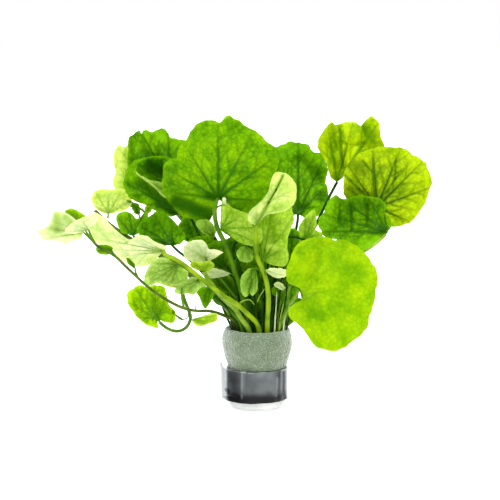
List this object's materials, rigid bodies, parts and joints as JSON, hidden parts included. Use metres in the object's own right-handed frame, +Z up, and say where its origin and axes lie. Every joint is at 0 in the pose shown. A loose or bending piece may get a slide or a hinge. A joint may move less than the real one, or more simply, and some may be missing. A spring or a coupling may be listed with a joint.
{
  "type": "aquarium plant bunch",
  "caption": "Bunch of Japanese cress with crinkled lobed leaves on arching stems, standing in a foam wrap that a wound lead strip weighs down.",
  "frame": {"origin": "centre of the foam wrap's flat foot, on the surface that the bunch stands on", "axes": "+Z up along the foam's axis, -Y towards the front of the bunch, +X towards its right"},
  "size_m": [0.1527, 0.0857, 0.1182],
  "materials": {
    "foam": "matte",
    "lead": "satin",
    "leaf_deep": "satin",
    "leaf_fresh": "satin",
    "leaf_lime": "satin",
    "leaf_pale": "satin",
    "leaf_mint": "matte",
    "stem": "satin"
  },
  "bodies": {
    "root": {"foam_wrap": "foam", "lead_band": "lead", "leaf_crown": "leaf_deep", "leaf_left_back": "leaf_deep", "leaf_left_rolled": "leaf_deep", "leaf_left_lower": "leaf_deep", "leaf_far_left": "leaf_lime", "leaf_pale_round": "leaf_lime", "leaf_tip_fold": "leaf_mint", "leaf_tip_back": "leaf_fresh", "leaf_tip_mint": "leaf_mint", "leaf_pale_long": "leaf_mint", "leaf_green_mid": "leaf_deep", "leaf_green_small": "leaf_deep", "leaf_lower_left": "leaf_fresh", "leaf_young": "leaf_lime", "leaf_veined_left": "leaf_pale", "leaf_veined_low": "leaf_pale", "leaf_pale_mid": "leaf_mint", "leaf_yellow_small": "leaf_lime", "leaf_pale_small": "leaf_mint", "leaf_grey_small": "leaf_pale", "leaf_triangle": "leaf_fresh", "leaf_fold_center": "leaf_pale", "leaf_white_right": "leaf_mint", "leaf_lime_center": "leaf_lime", "leaf_white_small": "leaf_mint", "leaf_pleated": "leaf_pale", "leaf_hooded": "leaf_pale", "leaf_right_back": "leaf_deep", "leaf_cup_top": "leaf_lime", "leaf_right_veined": "leaf_lime", "leaf_cup_mid": "leaf_deep", "leaf_front_right": "leaf_lime", "leaf_right_small": "leaf_fresh", "leaf_inner_left": "leaf_deep", "leaf_inner_low": "leaf_deep", "stem_crown": "stem", "stem_arch_left": "stem", "stem_second": "stem", "stem_low_left": "stem", "stem_upper_left": "stem", "stem_front": "stem", "stalk_hook": "stem", "stalk_left_back": "stem", "stalk_left_rolled": "stem", "stalk_left_lower": "stem", "stalk_far_left": "stem", "stalk_pale_round": "stem", "stalk_green_mid": "stem", "stalk_green_small": "stem", "stalk_pale_mid": "stem", "stem_inner": "stem", "stalk_hooded": "stem", "stalk_right_back": "stem", "stalk_cup_top": "stem", "stalk_right_veined": "stem", "stalk_cup_mid": "stem", "stalk_front_right": "stem", "stalk_right_small": "stem"}
  },
  "joints": []
}
